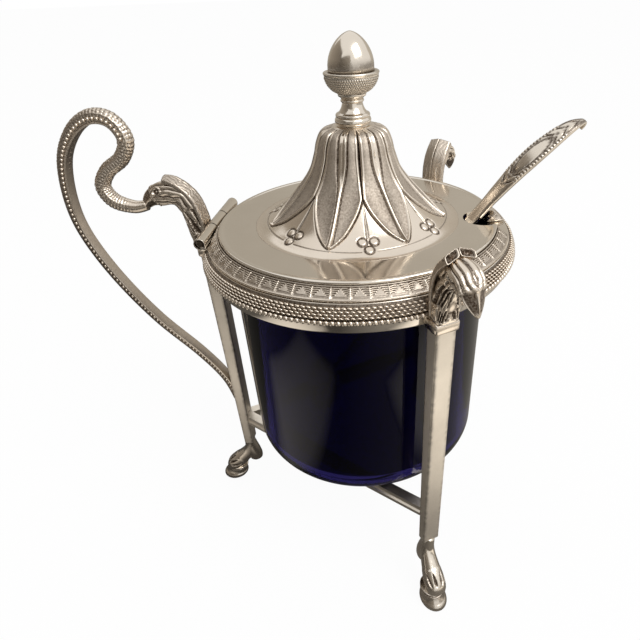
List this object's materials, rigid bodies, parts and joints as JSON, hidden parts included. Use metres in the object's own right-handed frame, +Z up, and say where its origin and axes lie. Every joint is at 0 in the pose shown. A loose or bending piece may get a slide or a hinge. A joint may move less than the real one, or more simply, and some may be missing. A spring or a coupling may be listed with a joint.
{
  "type": "mustard pot",
  "caption": "Footed silver mustard pot with a glass liner in an open tripod stand, a hinged domed lid with an acorn finial, a serpent loop handle and a spoon.",
  "frame": {"origin": "on the pot's vertical axis at table level, between the three hooves", "axes": "+Z up; -X towards the handle; +X towards the spoon opening; +Y to the far side of the picture"},
  "size_m": [0.1237, 0.0898, 0.1333],
  "materials": {
    "silver": "polished and chased silver with dark recesses",
    "oxidised_silver": "stippled or plain silver, darkened",
    "cobalt_glass": "deep blue glass"
  },
  "bodies": {
    "stand": {"gallery_ring": "silver", "braid_band": "silver", "bead_wire": "silver", "leg_shaft_handle": "silver", "leg_shaft_front": "silver", "leg_shaft_back": "silver", "eagle_head_handle": "silver", "eagle_head_front": "silver", "eagle_head_back": "silver", "hoof_foot_handle": "silver", "hoof_foot_front": "silver", "hoof_foot_back": "silver", "stretcher_near": "silver", "stretcher_side": "silver", "stretcher_far": "silver", "handle": "silver", "handle_bead_near": "silver", "handle_bead_far": "silver", "hinge_frame_leaf": "silver", "hinge_pin": "oxidised_silver"},
    "lid": {"hinge_lid_leaf": "silver", "lid_plate": "silver", "lid_rim_band": "silver", "leaf_dome": "silver", "finial_stem": "silver", "acorn_cup": "oxidised_silver", "acorn_nut": "silver", "finial_stud": "oxidised_silver", "finial_nut": "oxidised_silver"},
    "liner": {"glass_liner": "cobalt_glass"},
    "spoon": {"mustard_spoon": "silver"}
  },
  "joints": [
    {"name": "lid_hinge", "type": "hinge", "parent": "stand", "child": "lid", "pos_m": [-0.035, 0, 0.09295], "axis": [0, -1, 0], "range_deg": [0, 88]},
    {"name": "liner_turn", "type": "hinge", "parent": "stand", "child": "liner", "pos_m": [0, 0, 0.02905], "axis": [0, 0, 1], "continuous": true},
    {"name": "spoon_draw", "type": "slide", "parent": "stand", "child": "spoon", "axis": [0.6016, -0.0158, 0.7986], "range_m": [0, 0.05]}
  ]
}
